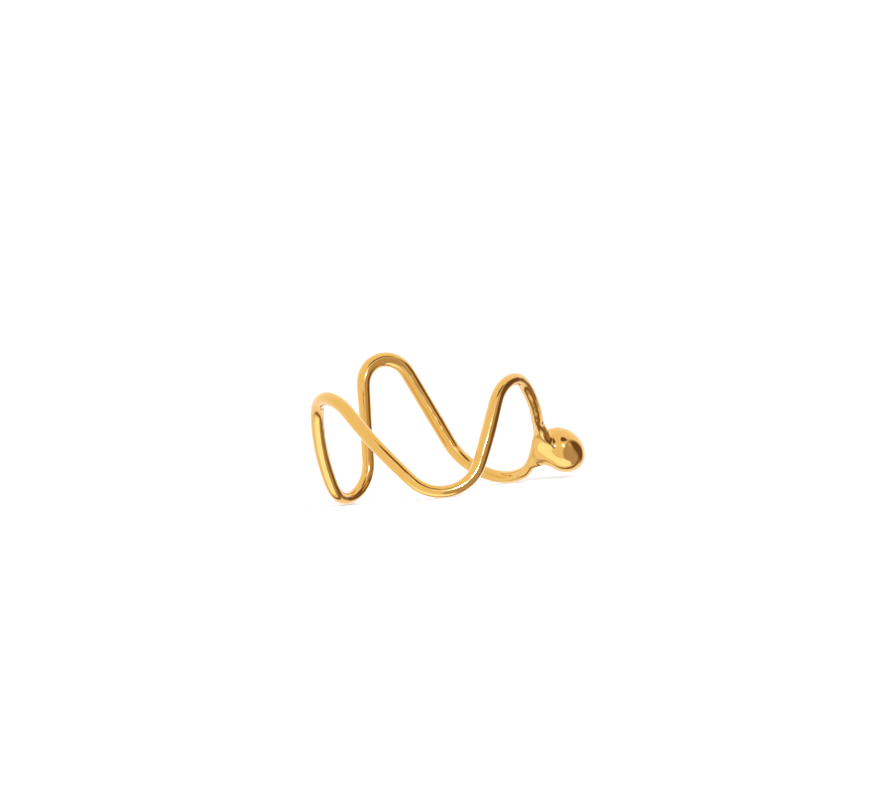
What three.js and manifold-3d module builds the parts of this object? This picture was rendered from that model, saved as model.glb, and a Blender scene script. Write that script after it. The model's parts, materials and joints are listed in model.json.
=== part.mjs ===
// Wave ring: one round wire that goes up and down as it circles the finger and closes on itself,
// with a drop-shaped bead fused to its side by a short neck. It is cast and soldered metal, so it
// is one solid. Millimetres and degrees, +Z up. The ring lies on its side: the finger goes through
// along Z, and the three low bends of the wire touch z = 0.

import * as THREE from 'three';
import { mergeVertices } from 'three/addons/utils/BufferGeometryUtils.js';
import Module from 'manifold-3d';

// ---- driving dimensions ----

const FINGER_HOLE = 17.3;          // inner diameter, US ring size 7
const WIRE = 1.1;                  // thickness that the wire has on average
const GOLD = 0xe9b44c;             // yellow gold plating

const WIRE_CIRCLE = (FINGER_HOLE + WIRE) / 2;        // radius of the wire's centreline

// The wave, one row for each bend, counter-clockwise from the bead. Laid out flat, each bend is an
// arc and the legs between bends are straight lines that touch both arcs.
//   turn    the wire turns back at a low or a high place
//   angle   where the bend sits round the finger, 0 at +X
//   edge    height of the bend's outer edge above the table
//   radius  of the arc, to the middle of the wire
//   thick   thickness of the wire at the bend
//   leg     thickness at the middle of the leg that follows
const BENDS = [
  { turn: 'low', angle: 46.5, edge: 0, radius: 5.9, thick: 1.08, leg: 1.26 },
  { turn: 'high', angle: 109.6, edge: 12.35, radius: 2.12, thick: 1.28, leg: 1.07 },
  { turn: 'low', angle: 144.7, edge: 0, radius: 3.05, thick: 1.05, leg: 1.17 },
  { turn: 'high', angle: 207, edge: 9.95, radius: 3.9, thick: 1.16, leg: 1.13 },
  { turn: 'low', angle: 275, edge: 0, radius: 3.6, thick: 1.05, leg: 1.24 },
  { turn: 'high', angle: 326, edge: 9.55, radius: 2.9, thick: 1.1, leg: 1.08 },
];

const BEAD = {
  angle: 16.5,                     // where it sits round the finger
  height: 2.38,                    // its middle above the table
  out: 2.2,                        // its middle outside the wire's centreline
  length: 4.36,                    // along its long axis
  width: 3.54,                     // across it
  droop: 46,                       // the outer end of the long axis points this far down
};

// The neck is an oval swelling of the wire that runs into the bead.
const NECK = {
  alongWire: 4.0,
  acrossWire: 1.6,
  outwards: 1.9,
  out: 0.55,                       // its middle outside the wire's centreline
};

// Fineness of the facets.
const WIRE_STEPS = 168;
const WIRE_SIDES = 12;
const BEAD_SIDES = 28;
const BEAD_RINGS = 18;

// ---- the wire's route ----

// The wave laid out flat: x runs round the finger, y is height, and the legs join the arcs.
function flatWave() {
  const lap = 2 * Math.PI * WIRE_CIRCLE;
  const pegs = BENDS.map((bend) => {
    const side = bend.turn === 'high' ? 1 : -1;
    const x = THREE.MathUtils.degToRad(bend.angle) * WIRE_CIRCLE;
    const y = bend.edge - side * (bend.thick / 2 + bend.radius);
    return { side, radius: bend.radius, centre: new THREE.Vector2(x, y) };
  });
  const first = pegs[0];
  pegs.push({ ...first, centre: first.centre.clone().setX(first.centre.x + lap) });

  // Direction of the straight leg from one peg to the next, which lies on the other side of it.
  const legs = pegs.slice(1).map((peg, i) => {
    const step = peg.centre.clone().sub(pegs[i].centre);
    const swing = Math.asin((peg.radius + pegs[i].radius) / step.length());
    return Math.atan2(step.y, step.x) + peg.side * swing;
  });

  const wave = new THREE.Path();
  BENDS.forEach((bend, i) => {
    const { side, radius, centre } = pegs[i];
    const legIn = legs[(i + legs.length - 1) % legs.length];
    const quarter = side * Math.PI / 2;
    wave.absarc(centre.x, centre.y, radius, legIn + quarter, legs[i] + quarter, side > 0);
  });
  const start = wave.getPoint(0);
  wave.lineTo(start.x + lap, start.y);
  return wave;
}

// The flat wave rolled round the finger.
class RolledCurve extends THREE.Curve {
  constructor(wave) {
    super();
    this.wave = wave;
    this.arcLengthDivisions = 2400;
  }

  getPoint(t, target = new THREE.Vector3()) {
    const flat = this.wave.getPoint(t);
    const turn = flat.x / WIRE_CIRCLE;
    return target.set(WIRE_CIRCLE * Math.cos(turn), WIRE_CIRCLE * Math.sin(turn), flat.y);
  }
}

// Thickness of the wire at a share of its length: each bend's and each leg's own value at its
// middle, and a smooth change between them.
function thicknessAlong(wave) {
  const stations = [];
  let run = 0;
  wave.curves.forEach((curve, i) => {
    const row = BENDS[Math.floor(i / 2)];
    const length = curve.getLength();
    stations.push({ at: run + length / 2, thick: i % 2 ? row.leg : row.thick });
    run += length;
  });
  stations.unshift({ at: stations.at(-1).at - run, thick: stations.at(-1).thick });
  stations.push({ at: stations[1].at + run, thick: stations[1].thick });

  return (share) => {
    const at = share * run;
    const next = stations.findIndex((station) => station.at >= at);
    const [a, b] = [stations[next - 1], stations[next]];
    return THREE.MathUtils.lerp(a.thick, b.thick, THREE.MathUtils.smoothstep(at, a.at, b.at));
  };
}

// ---- the solids ----

function wireGeometry(route, thickness) {
  const tube = new THREE.TubeGeometry(route, WIRE_STEPS, 0.5, WIRE_SIDES, true);
  const position = tube.attributes.position;
  const point = new THREE.Vector3();
  for (let i = 0; i < position.count; i += 1) {
    const share = (Math.floor(i / (WIRE_SIDES + 1)) % WIRE_STEPS) / WIRE_STEPS;
    const middle = route.getPointAt(share);
    point.fromBufferAttribute(position, i).sub(middle).multiplyScalar(thickness(share));
    point.add(middle);
    position.setXYZ(i, point.x, point.y, point.z);
  }
  return tube;
}

const turned = (angle) => new THREE.Matrix4().makeRotationZ(THREE.MathUtils.degToRad(angle));

function beadCentre() {
  return new THREE.Vector3(WIRE_CIRCLE + BEAD.out, 0, BEAD.height).applyMatrix4(turned(BEAD.angle));
}

function beadGeometry() {
  const bead = new THREE.SphereGeometry(0.5, BEAD_SIDES, BEAD_RINGS);
  bead.rotateZ(-Math.PI / 2);                                  // poles on the long axis
  bead.scale(BEAD.length, BEAD.width, BEAD.width);
  bead.rotateY(THREE.MathUtils.degToRad(BEAD.droop));
  bead.rotateZ(THREE.MathUtils.degToRad(BEAD.angle));
  return bead.translate(...beadCentre().toArray());
}

// The neck's own axes: X along the wire, Z out towards the bead.
function neckGeometry(wirePoint, wireDirection) {
  const outwards = beadCentre().sub(wirePoint).normalize();
  const across = outwards.clone().cross(wireDirection).normalize();
  const along = across.clone().cross(outwards);
  const neck = new THREE.SphereGeometry(0.5, BEAD_SIDES, BEAD_RINGS);
  neck.scale(NECK.alongWire, NECK.acrossWire, NECK.outwards);
  neck.applyMatrix4(new THREE.Matrix4().makeBasis(along, across, outwards));
  return neck.translate(...wirePoint.addScaledVector(outwards, NECK.out).toArray());
}

// How far round its route the wire passes nearest to the bead.
function shareNearBead(route) {
  const centre = beadCentre();
  const points = route.getSpacedPoints(WIRE_STEPS * 4);
  const gaps = points.map((point) => point.distanceTo(centre));
  return gaps.indexOf(Math.min(...gaps)) / (points.length - 1);
}

// ---- joining them ----

const wasm = await Module();
wasm.setup();

function solidOf(geometry) {
  geometry.deleteAttribute('normal');
  geometry.deleteAttribute('uv');
  const closed = mergeVertices(geometry, 1e-5);
  return new wasm.Manifold(new wasm.Mesh({
    numProp: 3,
    vertProperties: new Float32Array(closed.attributes.position.array),
    triVerts: new Uint32Array(closed.index.array),
  }));
}

function geometryOf(solid) {
  const mesh = solid.getMesh();
  const geometry = new THREE.BufferGeometry();
  geometry.setAttribute('position', new THREE.BufferAttribute(mesh.vertProperties, 3));
  geometry.setIndex(new THREE.BufferAttribute(mesh.triVerts, 1));
  geometry.computeVertexNormals();
  return geometry;
}

const wave = flatWave();
const route = new RolledCurve(wave);
const wire = solidOf(wireGeometry(route, thicknessAlong(wave)));
const atBead = shareNearBead(route);
const neck = solidOf(neckGeometry(route.getPointAt(atBead), route.getTangentAt(atBead)));
const bead = solidOf(beadGeometry());
const ringGeometry = geometryOf(wire.add(neck).add(bead));

// ---- the ring, with its origin on the table below the middle of its box ----

const gold = new THREE.MeshStandardMaterial({ color: GOLD, roughness: 0.12, metalness: 1 });
const ring = new THREE.Mesh(ringGeometry, gold);
ring.name = 'wave_ring';

ringGeometry.computeBoundingBox();
const box = ringGeometry.boundingBox;
const middle = box.getCenter(new THREE.Vector3());
ring.position.set(-middle.x, -middle.y, -box.min.z);

const group = new THREE.Group();
group.add(ring);

export default group;
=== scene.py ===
import json
import math
from collections import namedtuple

import bmesh
import bpy
from mathutils import Euler, Matrix, Vector

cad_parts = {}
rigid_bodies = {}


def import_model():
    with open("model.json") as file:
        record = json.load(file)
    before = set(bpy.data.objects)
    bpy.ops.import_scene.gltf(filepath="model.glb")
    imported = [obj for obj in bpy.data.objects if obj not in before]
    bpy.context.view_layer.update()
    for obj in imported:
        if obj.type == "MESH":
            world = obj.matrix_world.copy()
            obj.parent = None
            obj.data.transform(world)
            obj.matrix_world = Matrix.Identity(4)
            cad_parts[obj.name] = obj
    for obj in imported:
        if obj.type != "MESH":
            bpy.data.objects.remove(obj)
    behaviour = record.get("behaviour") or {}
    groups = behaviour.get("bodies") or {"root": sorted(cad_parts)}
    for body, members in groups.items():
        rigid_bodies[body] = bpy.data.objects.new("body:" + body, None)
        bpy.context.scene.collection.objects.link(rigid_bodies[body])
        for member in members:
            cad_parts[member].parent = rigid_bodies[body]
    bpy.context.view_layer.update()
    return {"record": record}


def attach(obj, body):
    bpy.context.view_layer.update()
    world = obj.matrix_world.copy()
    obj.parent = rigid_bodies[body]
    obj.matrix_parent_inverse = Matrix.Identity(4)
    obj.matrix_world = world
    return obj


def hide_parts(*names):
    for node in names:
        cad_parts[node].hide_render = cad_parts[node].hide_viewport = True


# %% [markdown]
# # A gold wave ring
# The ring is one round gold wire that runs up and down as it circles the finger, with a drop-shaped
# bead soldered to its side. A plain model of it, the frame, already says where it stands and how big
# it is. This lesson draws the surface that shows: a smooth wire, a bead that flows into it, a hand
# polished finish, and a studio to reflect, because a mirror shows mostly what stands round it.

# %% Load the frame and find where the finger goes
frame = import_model()
MM = 0.001
finger_mount = next(mount for mount in frame["record"]["mounts"] if mount["name"] == "finger")
FINGER_X, FINGER_Y = finger_mount["pos_m"][:2]      # the finger goes through here, along Z

# %% [markdown]
# ## The camera
# A catalogue picture of a small jewel is taken from far away with a long lens, so that near and far
# bends of the wire keep almost the same size. Here the camera stands a metre away, almost level with
# the table, and it is tipped sideways a little. The lens follows from the width that the picture
# takes in at the ring.

# %% Place the camera
CAMERA_AWAY = 1007 * MM
PICTURE_WIDTH = 73 * MM
ELEVATION = math.radians(1.5)
TIP = math.radians(7.26)                           # the camera's top leans to the right
AIM = Vector((FINGER_X + 0.83 * MM, FINGER_Y + 0.13 * MM, 7.97 * MM))

camera_turn = Euler((math.pi / 2 - ELEVATION, 0, 0)).to_matrix() @ Euler((0, 0, -TIP)).to_matrix()
toward_camera = camera_turn @ Vector((0, 0, 1))
bpy.ops.object.camera_add(location=AIM + toward_camera * CAMERA_AWAY,
                          rotation=camera_turn.to_euler())
camera = bpy.context.object
camera.data.lens = camera.data.sensor_width * CAMERA_AWAY / PICTURE_WIDTH
bpy.context.scene.camera = camera
print("lens, mm:", round(camera.data.lens), " camera, m:", [round(c, 3) for c in camera.location])

# %% [markdown]
# ## The wire, laid out flat
# A goldsmith bends such a wire flat on the bench first, round pegs, and then rolls the flat wave on a
# round steel mandrel. The same order works here. Laid flat, each bend is an arc round a peg, and the
# legs between bends are straight and touch both arcs. So a few facts for each bend say it all: where
# it sits round the finger, how high its outer edge is, its radius, and how thick the wire is there
# and in the middle of the leg that follows. Cast wire is never quite even, and that shows.

# %% Facts of the wave
FINGER_HOLE = 17.3 * MM                            # US ring size 7
WIRE = 1.1 * MM                                    # about how thick the wire is
WIRE_CIRCLE = (FINGER_HOLE + WIRE) / 2             # from the finger's axis to the middle of the wire
LAP = 2 * math.pi * WIRE_CIRCLE

LOW, HIGH = -1, 1
Bend = namedtuple("Bend", "side angle edge radius thick leg")   # degrees and millimetres
BENDS = [
    Bend(LOW, 46.5, 0, 5.9, 1.08, 1.26),
    Bend(HIGH, 109.6, 12.35, 2.12, 1.28, 1.07),
    Bend(LOW, 144.7, 0, 3.05, 1.05, 1.17),
    Bend(HIGH, 207, 9.95, 3.9, 1.16, 1.13),
    Bend(LOW, 275, 0, 3.6, 1.05, 1.24),
    Bend(HIGH, 326, 9.55, 2.9, 1.1, 1.08),
]
START = math.pi / 2                                # the flat wave is measured from the front, at -Y


def peg_centre(bend, lap=0):
    """Middle of a bend's arc on the flat sheet: x runs round the finger, z is height."""
    x = (math.radians(bend.angle) + START) * WIRE_CIRCLE + lap * LAP
    return Vector((x, 0, (bend.edge - bend.side * (bend.thick / 2 + bend.radius)) * MM))


def leg_between(bend, centre, following, following_centre):
    """Heading and length of the straight leg that touches both arcs from opposite sides."""
    step = following_centre - centre
    radii = (bend.radius + following.radius) * MM
    heading = math.atan2(step.z, step.x) + following.side * math.asin(radii / step.length)
    return heading, math.sqrt(step.length ** 2 - radii ** 2)


loop = BENDS + BENDS[:1]
centres = [peg_centre(bend) for bend in BENDS] + [peg_centre(BENDS[0], lap=1)]
legs = [leg_between(loop[i], centres[i], loop[i + 1], centres[i + 1]) for i in range(len(BENDS))]
print("legs, degrees and mm:", [(round(math.degrees(h)), round(n / MM, 1)) for h, n in legs])

# %% [markdown]
# The route starts in the middle of the first low bend, where the wire runs level, and comes back to
# it after one lap. Each stretch of the route is a turn round a peg or a straight leg. The thickness
# eases from the value at the middle of one stretch to the value at the middle of the next.

# %% List the stretches of the route
Stretch = namedtuple("Stretch", "turn centre length heading")
stretches = []
known_thickness = [(0.0, BENDS[0].thick * MM)]
run = 0.0
for i, (heading, leg_length) in enumerate(legs):
    heading_in = legs[i - 1][0] if i else 0.0
    turn = heading - heading_in
    arc = abs(turn) * BENDS[i].radius * MM
    if i:
        known_thickness.append((run + arc / 2, BENDS[i].thick * MM))
    known_thickness.append((run + arc + leg_length / 2, BENDS[i].leg * MM))
    stretches += [Stretch(turn, centres[i], arc, 0.0), Stretch(0.0, None, leg_length, heading)]
    run += arc + leg_length
last_turn = -legs[-1][0]
stretches.append(Stretch(last_turn, centres[-1], abs(last_turn) * BENDS[0].radius * MM, 0.0))
WIRE_LENGTH = run + stretches[-1].length
known_thickness.append((WIRE_LENGTH, BENDS[0].thick * MM))
print("length of the wire, mm:", round(WIRE_LENGTH / MM, 1))

# %% Ease the thickness from one value to the next
ROUND_OFF = 1e-9                                   # metres that adding up many steps may be out by


def thickness_at(way):
    """The wire's thickness this far along its route."""
    after = next(i for i, (at, _) in enumerate(known_thickness) if i and at >= way - ROUND_OFF)
    (a, thick_a), (b, thick_b) = known_thickness[after - 1:after + 1]
    share = (way - a) / (b - a)
    return thick_a + (thick_b - thick_a) * share * share * (3 - 2 * share)


print("thickness at the start, mm:", round(thickness_at(0) / MM, 2))

# %% [markdown]
# ## Drawing the wire
# The wire starts as one circle of twelve points. Spin carries its open end round a peg, and extrude
# pushes it straight along a leg, in steps of about half a millimetre. After each step the new end is
# resized to the thickness there. Twelve sides look coarse, but this is only a cage: a Subdivision
# Surface rounds it at the end. Rounding pulls a cage in, so it is made that much thicker.

# %% Start the wire
WIRE_SIDES = 12
STEP = 0.55 * MM


def pulled_in(angle_between_points):
    """How far subdivision pulls in a round cage, as a share of its radius."""
    return (2 + math.cos(angle_between_points)) / 3


def only_selected(piece):
    """Makes this piece the selected and active one, and no other."""
    bpy.ops.object.select_all(action="DESELECT")
    piece.select_set(True)
    bpy.context.view_layer.objects.active = piece


WIRE_CAGE = 1 / pulled_in(2 * math.pi / WIRE_SIDES)
bpy.ops.object.select_all(action="DESELECT")
bpy.ops.mesh.primitive_circle_add(
    vertices=WIRE_SIDES, radius=thickness_at(0) / 2 * WIRE_CAGE,
    location=(centres[0].x, 0, thickness_at(0) / 2),
    rotation=(math.pi / 2, 0, math.pi / 2))
ring = bpy.context.object
ring.name = "gold_wave_ring"
bpy.ops.object.transform_apply(location=True, rotation=True, scale=True)
print("the cage is thicker than the wire by a factor of", round(WIRE_CAGE, 3))


# %% Bend the wire round the pegs
def open_end():
    """Middle of the selected end of the wire."""
    mesh = bmesh.from_edit_mesh(ring.data)
    end = [vertex.co for vertex in mesh.verts if vertex.select]
    return sum(end, Vector()) / len(end)


bpy.ops.object.mode_set(mode="EDIT")
bpy.ops.mesh.select_all(action="SELECT")
run = 0.0
for stretch in stretches:
    steps = max(1, round(stretch.length / STEP))
    for _ in range(steps):
        if stretch.centre is None:
            ahead = Vector((math.cos(stretch.heading), 0, math.sin(stretch.heading)))
            push = ahead * stretch.length / steps
            bpy.ops.mesh.extrude_region_move(TRANSFORM_OT_translate={"value": push})
        else:
            bpy.ops.mesh.spin(steps=1, angle=stretch.turn / steps,
                              center=stretch.centre, axis=(0, 1, 0))
        before = thickness_at(run)
        run += stretch.length / steps
        grow = thickness_at(run) / before
        bpy.ops.transform.resize(value=(grow, grow, grow), center_override=open_end())
bpy.ops.object.mode_set(mode="OBJECT")
print("sections along the wire:", len(ring.data.vertices) // WIRE_SIDES)

# %% [markdown]
# ## Rolling it on the mandrel
# A Simple Deform modifier bends the flat wave through a full turn, so that its two ends meet. Bend
# turns the sheet about a line one radius away, at +Y, and the ring is then moved to where the finger
# goes through. Merging the doubled points at the joint solders the wire into one loop.

# %% Roll the wave and close it
JOINT = 0.01 * MM                                  # points closer than this become one
roll = ring.modifiers.new("roll on the mandrel", "SIMPLE_DEFORM")
roll.deform_method = "BEND"
roll.deform_axis = "Z"
roll.angle = 2 * math.pi
only_selected(ring)
bpy.ops.object.modifier_apply(modifier=roll.name)
bpy.ops.transform.translate(value=(FINGER_X, FINGER_Y - WIRE_CIRCLE, 0))
bpy.ops.object.transform_apply(location=True, rotation=True, scale=True)
bpy.ops.object.mode_set(mode="EDIT")
bpy.ops.mesh.select_all(action="SELECT")
bpy.ops.mesh.remove_doubles(threshold=JOINT)
bpy.ops.mesh.normals_make_consistent(inside=False)
bpy.ops.object.mode_set(mode="OBJECT")
print("points round the closed wire:", len(ring.data.vertices))

# %% [markdown]
# ## The bead
# The bead is a drop of metal, a little longer than wide, that hangs outwards and down. A cube whose
# sides are halved and rounded again and again makes a ball without poles, and poles would show as
# pinches in a mirror finish. The ball's grid is lined up with the wire, so that a patch of the grid
# can later be opened towards it. The stretch along the drooping axis comes after that, so the ball is
# turned until that axis lies along X, stretched, and turned back.

# %% Find where the bead meets the wire
BEAD_LENGTH = 4.36 * MM
BEAD_WIDTH = 3.54 * MM
BEAD_ANGLE = math.radians(16.5)                    # where it sits round the finger
BEAD_OUT = 2.2 * MM                                # its middle outside the middle of the wire
BEAD_HEIGHT = 2.38 * MM
BEAD_DROOP = math.radians(46)                      # its outer end points this far down

bead_reach = WIRE_CIRCLE + BEAD_OUT
bead_centre = Vector((FINGER_X + bead_reach * math.cos(BEAD_ANGLE),
                      FINGER_Y + bead_reach * math.sin(BEAD_ANGLE), BEAD_HEIGHT))
wire_points = [vertex.co.copy() for vertex in ring.data.vertices]
sections = [sum(wire_points[i:i + WIRE_SIDES], Vector()) / WIRE_SIDES
            for i in range(0, len(wire_points), WIRE_SIDES)]
nearest = min(range(len(sections)), key=lambda i: (sections[i] - bead_centre).length)
foot = sections[nearest]
along = (sections[nearest + 1] - sections[nearest - 1]).normalized()
across = (bead_centre - foot).cross(along).normalized()
outwards = along.cross(across)
print("from the wire to the middle of the bead, mm:", round((bead_centre - foot).length / MM, 2))


# %% Make a ball without poles, with its grid along the wire
def turned(piece, turn):
    """Turns a piece about the origin and writes the turn into its mesh."""
    piece.rotation_euler = turn.to_euler()
    only_selected(piece)
    bpy.ops.object.transform_apply(location=True, rotation=True, scale=True)


BEAD_HALVINGS = 3                                  # 8 squares along each side of the cube
squares = 2 ** BEAD_HALVINGS
BEAD_CAGE = 1 / pulled_in(math.pi / 2 / squares) ** 2
grid_turn = Matrix((outwards, along, across)).transposed()
droop_turn = Euler((0, BEAD_DROOP, BEAD_ANGLE)).to_matrix()

bpy.ops.object.select_all(action="DESELECT")
bpy.ops.mesh.primitive_cube_add(size=BEAD_WIDTH)
bead = bpy.context.object
bpy.ops.object.mode_set(mode="EDIT")
for _ in range(BEAD_HALVINGS):
    bpy.ops.mesh.subdivide(number_cuts=1)
    bpy.ops.transform.tosphere(value=1)
bpy.ops.object.mode_set(mode="OBJECT")
bead.dimensions = [BEAD_WIDTH * BEAD_CAGE] * 3
print("squares on the bead:", len(bead.data.polygons))

# %% Open the side of the ball that faces the wire
NECK_UP, NECK_DOWN, NECK_ACROSS = 5, 4, 8          # squares of the patch
only_selected(bead)
bpy.ops.object.transform_apply(location=True, rotation=True, scale=True)
bpy.ops.object.mode_set(mode="EDIT")
bpy.ops.mesh.select_all(action="DESELECT")
bpy.ops.mesh.select_mode(type="FACE")
mesh = bmesh.from_edit_mesh(bead.data)
square = math.pi / 2 / squares
for face in mesh.faces:
    x, y, z = face.calc_center_median()
    rows_down = math.atan2(y, -x) / square
    columns_off = math.atan2(abs(z), max(-x, abs(y))) / square
    face.select = -NECK_UP < rows_down < NECK_DOWN and columns_off < NECK_ACROSS / 2
print("squares taken out:", sum(face.select for face in mesh.faces))
bmesh.update_edit_mesh(bead.data)
bpy.ops.mesh.delete(type="FACE")
bpy.ops.object.mode_set(mode="OBJECT")

# %% Turn the bead to the wire, stretch it and put it in its place
turned(bead, droop_turn.inverted() @ grid_turn)
bead.scale.x = BEAD_LENGTH / BEAD_WIDTH
bpy.ops.object.transform_apply(location=True, rotation=True, scale=True)
turned(bead, droop_turn)
bead.location = bead_centre
bpy.ops.object.transform_apply(location=True, rotation=True, scale=True)
print("box of the bead, mm:", [round(side / MM, 2) for side in bead.dimensions])

# %% [markdown]
# ## Soldering the bead on
# On the real ring the bead flows into the wire through a broad neck, which runs out up the wire like
# a web. The same patch of squares is taken out of the side of the wire, the two open rims have
# equally many points, and bridging them grows the neck between them. A few rounds of smoothing relax
# the joint. Subdivision then rounds wire, neck and bead as one skin.

# %% Open the wire under the bead
only_selected(ring)
bpy.ops.object.mode_set(mode="EDIT")
bpy.ops.mesh.select_all(action="DESELECT")
bpy.ops.mesh.select_mode(type="FACE")
mesh = bmesh.from_edit_mesh(ring.data)
row = (sections[nearest + 1] - foot).length
column = 2 * math.pi / WIRE_SIDES
for face in mesh.faces:
    offset = face.calc_center_median() - foot
    rows_down = offset.dot(along) / row
    columns_off = face.normal.angle(outwards) / column
    face.select = (offset.length < BEAD_WIDTH and -NECK_UP < rows_down < NECK_DOWN
                   and columns_off < NECK_ACROSS / 2)
print("squares taken out:", sum(face.select for face in mesh.faces))
bmesh.update_edit_mesh(ring.data)
bpy.ops.mesh.delete(type="FACE")
bpy.ops.object.mode_set(mode="OBJECT")

# %% Bridge the two rims
NECK_CUTS = 3                                      # rings of points along the neck
NECK_FLARE = 0.8                                   # how strongly it follows the skins at its ends
RELAX = 0.5                                        # share of the way to its neighbours' middle
RELAX_ROUNDS = 5
only_selected(ring)
bead.select_set(True)
bpy.ops.object.join()
bpy.ops.object.mode_set(mode="EDIT")
bpy.ops.mesh.select_mode(type="EDGE")
bpy.ops.mesh.select_all(action="DESELECT")
bpy.ops.mesh.select_non_manifold(extend=False)
bpy.ops.mesh.bridge_edge_loops(number_cuts=NECK_CUTS, interpolation="SURFACE",
                               smoothness=NECK_FLARE)
bpy.ops.mesh.select_mode(type="VERT")
bpy.ops.mesh.select_more()
bpy.ops.mesh.vertices_smooth(factor=RELAX, repeat=RELAX_ROUNDS)
bpy.ops.mesh.select_all(action="SELECT")
bpy.ops.mesh.normals_make_consistent(inside=False)
print("points of wire, neck and bead:", len(bmesh.from_edit_mesh(ring.data).verts))

# %% [markdown]
# Where the web runs out up the wire, the skin sags between wire and bead after smoothing. A few
# points there are pulled back out, and proportional editing takes their neighbours along, less and
# less with distance.

# %% Lift the end of the web
WEB_UP = 2.3 * MM                                  # up the wire from where the bead meets it
WEB_OUT = 0.7 * MM                                 # out from the middle of the wire
WEB_PATCH = 0.5 * MM
WEB_LIFT = 0.4 * MM
WEB_FADE = 1.6 * MM

web_end = foot - along * WEB_UP + outwards * WEB_OUT
bpy.ops.mesh.select_all(action="DESELECT")
mesh = bmesh.from_edit_mesh(ring.data)
for vertex in mesh.verts:
    vertex.select = (vertex.co - web_end).length < WEB_PATCH
print("lifted points:", sum(vertex.select for vertex in mesh.verts))
bmesh.update_edit_mesh(ring.data)
bpy.ops.transform.translate(value=outwards * WEB_LIFT, use_proportional_edit=True,
                            proportional_edit_falloff="SMOOTH", proportional_size=WEB_FADE)
bpy.ops.object.mode_set(mode="OBJECT")

# %% Round the cage
ROUNDING = 2                                       # each level cuts a square into four
smooth = ring.modifiers.new("round the cage", "SUBSURF")
smooth.levels = smooth.render_levels = ROUNDING
only_selected(ring)
bpy.ops.object.modifier_apply(modifier=smooth.name)
bpy.ops.object.shade_smooth()
print("triangles:", sum(len(face.vertices) - 2 for face in ring.data.polygons))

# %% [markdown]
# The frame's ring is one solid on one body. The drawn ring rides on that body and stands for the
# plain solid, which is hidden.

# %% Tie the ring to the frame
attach(ring, "root")
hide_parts("wave_ring")
print("box of the ring, mm:", [round(side / MM, 2) for side in ring.dimensions])

# %% [markdown]
# ## Colours and nodes
# Colours are written as designers write them, in sRGB hex, and turned to the linear values that the
# renderer works with. One small function adds any node with its settings and links.

# %% Colour and node helpers
def linear(hex_colour):
    """An sRGB hex colour as linear RGBA."""
    channels = [int(hex_colour[i:i + 2], 16) / 255 for i in (1, 3, 5)]
    return [c / 12.92 if c <= 0.04045 else ((c + 0.055) / 1.055) ** 2.4 for c in channels] + [1]


def add(tree, kind, sockets, **properties):
    """Adds a node. Each socket gets a value, or the output that feeds it."""
    node = tree.nodes.new("ShaderNode" + kind)
    for name, value in properties.items():
        setattr(node, name, value)
    for name, value in sockets.items():
        if isinstance(value, bpy.types.NodeSocket):
            tree.links.new(value, node.inputs[name])
        else:
            node.inputs[name].default_value = value
    return node


def new_material(name):
    """A material with an empty node tree."""
    material = bpy.data.materials.new(name)
    material.use_nodes = True
    material.node_tree.nodes.clear()
    return material, material.node_tree


# %% [markdown]
# ## Polished gold plating
# 18 carat yellow gold plated on cast brass, tumbled and then polished by hand on a felt wheel. A
# metal has no colour of its own under the gloss: its colour is the tint of what it mirrors. Hand
# polishing leaves the surface faintly uneven over a millimetre or so, which makes the reflections
# swim, and a haze of hairlines far finer than that, drawn here a tenth of a millimetre wide so that
# it shows at all. A thin clear lacquer against tarnish lies on top and gives the pale rims.

# %% Make the gold
GOLD = linear("#E8B555")
DEEP_GOLD = linear("#E2AD4B")
PLATING_PATCH = 2.5 * MM                           # the tint drifts over this distance
POLISH_WAVE = 1.3 * MM
POLISH_DEPTH = 0.15 * MM
HAIRLINE = 0.1 * MM
HAIRLINE_DEPTH = 0.01 * MM
GLOSSY, HAZY = 0.05, 0.12                          # the roughness wanders between these

gold, tree = new_material("18k gold plating, hand polished")
place = add(tree, "TexCoord", {}).outputs["Object"]
plating = add(tree, "TexNoise", {"Vector": place, "Scale": 1 / PLATING_PATCH, "Detail": 2.0})
tint = add(tree, "Mix", {"Factor": plating.outputs["Fac"], "A": GOLD, "B": DEEP_GOLD},
           data_type="RGBA")
waves = add(tree, "TexNoise", {"Vector": place, "Scale": 1 / POLISH_WAVE, "Detail": 1.0})
hairlines = add(tree, "TexNoise", {"Vector": place, "Scale": 1 / HAIRLINE, "Detail": 3.0})
gloss = add(tree, "MapRange", {"Value": hairlines.outputs["Fac"], "From Min": 0.3, "From Max": 0.7,
                               "To Min": GLOSSY, "To Max": HAZY})
swim = add(tree, "Bump", {"Height": waves.outputs["Fac"], "Strength": 0.35,
                          "Distance": POLISH_DEPTH})
haze = add(tree, "Bump", {"Height": hairlines.outputs["Fac"], "Normal": swim.outputs["Normal"],
                          "Strength": 0.08, "Distance": HAIRLINE_DEPTH})
skin = add(tree, "BsdfPrincipled", {"Base Color": tint.outputs["Result"], "Metallic": 1.0,
                                    "Roughness": gloss.outputs["Result"],
                                    "Coat Weight": 1.0, "Coat Roughness": 0.04,
                                    "Normal": haze.outputs["Normal"]})
add(tree, "OutputMaterial", {"Surface": skin.outputs["BSDF"]})
ring.data.materials.clear()
ring.data.materials.append(gold)
print("materials on the ring:", [material.name for material in ring.data.materials])

# %% [markdown]
# ## The table
# A wide sheet of matt white card. It is much larger than the ring, so its far edge is never seen. The
# ring would mirror it as a plain white half of its world, so the card is hidden from mirror rays,
# and the studio below draws what the ring sees instead.

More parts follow.
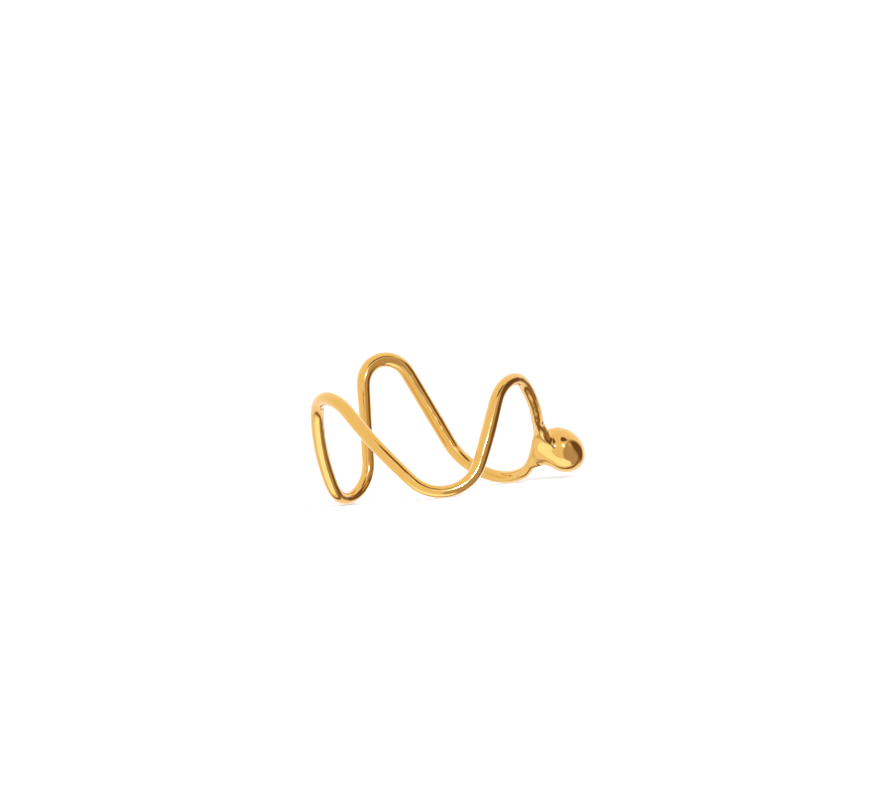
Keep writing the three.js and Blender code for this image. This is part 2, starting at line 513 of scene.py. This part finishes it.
# %% Lay the table
TABLE = 60.0                                       # metres each way
bpy.ops.object.select_all(action="DESELECT")
bpy.ops.mesh.primitive_plane_add(size=TABLE)
table = bpy.context.object
table.name = "white_card"
table.visible_glossy = False
matt_card, tree = new_material("matt white card")
paper = add(tree, "BsdfPrincipled", {"Base Color": linear("#F4F4F4"), "Roughness": 1.0,
                                     "Specular IOR Level": 0.0})
add(tree, "OutputMaterial", {"Surface": paper.outputs["BSDF"]})
table.data.materials.append(matt_card)
print("the table, m:", [round(side, 1) for side in table.dimensions])

# %% [markdown]
# ## The studio
# The ring mirrors the whole studio, so the studio is drawn on the world behind everything. It is a
# bright white room with a few cards hung in it: dark ones, which a photographer calls flags, draw
# the brown lines along the wire, a brighter one below gives the yellow glow, and the lamp's soft box
# gives the white glints. Each card has a direction from the ring, a lean, a half width and a half
# height in degrees, the softness of its edge, and its light. Gold swallows most of the blue, so the
# glow round the lamp is bluish to come out cream. The camera itself sees plain white.

# %% Hang the cards
Card = namedtuple("Card", "azimuth elevation lean half_width half_height edge light")
LAMP = 17, 17                                      # azimuth and elevation of the key lamp
CARDS = [                                          # azimuth 0 is the camera, 90 the ring's right
    Card(180, 0, 0, 75, 75, 0.5, (1.2, 1.2, 1.25)),              # the bright backdrop
    Card(64, -17, -33, 58, 50, 0.04, (0.59, 0.51, 0.57)),        # the dim room past the camera
    Card(62, 20, 0, 16, 10, 0.3, (0.95, 0.92, 0.92)),            # a window in it
    Card(90, 1, 53, 41, 22, 0.3, (0.18, 0.11, 0.08)),            # a dark flag at the right
    Card(34, 45, -5, 20, 9, 0.15, (0.20, 0.11, 0.07)),           # a small flag above
    Card(-37, -63, -48, 22, 40, 0.06, (1.3, 1.65, 2.0)),         # the bright table below
    Card(118, -66, 51, 62, 8, 0.3, (0.30, 0.19, 0.12)),          # the shadow line under it
    Card(*LAMP, 0, 9, 9, 0.8, (1.4, 1.6, 3.0)),                  # the glow round the lamp
    Card(*LAMP, 0, 4, 4, 0.5, (7, 8, 16)),                       # the lamp's soft box
    Card(*LAMP, 0, 1.5, 1.5, 0.4, (110, 110, 110)),              # the bulb that shines through it
]
WALLS = 1.08                                       # light of the room's bare walls


def facing(azimuth, elevation, lean):
    """Turn of a card that hangs in this direction, with its front at -Y."""
    aim = Euler((-math.radians(elevation), 0, math.radians(azimuth))).to_matrix()
    return aim @ Euler((0, math.radians(lean), 0)).to_matrix()


print("cards in the studio:", len(CARDS))

# %% [markdown]
# A card is an ellipse on the sky. For each one a Mapping node turns the ray's direction so that the
# card hangs at -Y, and scales it so that the card's rim lies one away from its middle. How far from
# the middle a ray falls then says how much of the card it meets, and only rays that leave towards
# the card's own side of the sky count. Each card is mixed over those before it.

# %% Draw them on the world
world = bpy.data.worlds.new("studio")
bpy.context.scene.world = world
world.use_nodes = True
tree = world.node_tree
tree.nodes.clear()
direction = add(tree, "TexCoord", {}).outputs["Generated"]
seen = (WALLS, WALLS, WALLS, 1)
for hung in CARDS:
    turn = facing(hung.azimuth, hung.elevation, hung.lean).to_euler()
    size = (math.sin(math.radians(hung.half_width)), 1, math.sin(math.radians(hung.half_height)))
    on_card = add(tree, "Mapping", {"Vector": direction, "Rotation": turn, "Scale": size},
                  vector_type="TEXTURE")
    flat = add(tree, "VectorMath", {0: on_card.outputs["Vector"], 1: (1, 0, 1)}, operation="MULTIPLY")
    reach = add(tree, "VectorMath", {0: flat.outputs["Vector"]}, operation="LENGTH")
    inside = add(tree, "MapRange", {"Value": reach.outputs["Value"], "From Min": 1 + hung.edge,
                                    "From Max": 1 - hung.edge}, interpolation_type="SMOOTHSTEP")
    ahead = add(tree, "SeparateXYZ", {"Vector": on_card.outputs["Vector"]})
    front = add(tree, "Math", {0: ahead.outputs["Y"], 1: 0.0}, operation="LESS_THAN")
    share = add(tree, "Math", {0: inside.outputs["Result"], 1: front.outputs["Value"]},
                operation="MULTIPLY")
    seen = add(tree, "Mix", {"Factor": share.outputs["Value"], "A": seen, "B": (*hung.light, 1)},
               data_type="RGBA").outputs["Result"]
WHITE_GROUND = 1.05                                # a little past white, so it shows as plain white
room = add(tree, "Background", {"Color": seen})
ground = add(tree, "Background", {"Color": (WHITE_GROUND, WHITE_GROUND, WHITE_GROUND, 1)})
path = add(tree, "LightPath", {})
both = add(tree, "MixShader", {0: path.outputs["Is Camera Ray"], 1: room.outputs["Background"],
                               2: ground.outputs["Background"]})
add(tree, "OutputWorld", {"Surface": both.outputs["Shader"]})
print("nodes in the world:", len(tree.nodes))

# %% [markdown]
# ## The key light
# One soft lamp stands right of the camera and above it, behind the soft box that the studio shows,
# and casts the shadow on the card. Its size in the ring's sky, in degrees, sets how soft the shadow
# is. It is hidden from mirror rays, since the soft box already stands for it there. The Standard
# view shows each colour as it is lit, with no film curve, so that white card stays white.

# %% Light the lamp
KEY_LIGHT = 5.0                                    # watts on each square metre
KEY_SIZE = math.radians(5)
key_direction = facing(*LAMP, 0) @ Vector((0, -1, 0))
bpy.ops.object.light_add(type="SUN", rotation=key_direction.to_track_quat("Z", "Y").to_euler())
key = bpy.context.object
key.name = "key_lamp"
key.data.energy = KEY_LIGHT
key.data.angle = KEY_SIZE
key.visible_glossy = False
bpy.context.scene.view_settings.view_transform = "Standard"
print("key light, from the ring:", [round(c, 2) for c in key_direction])
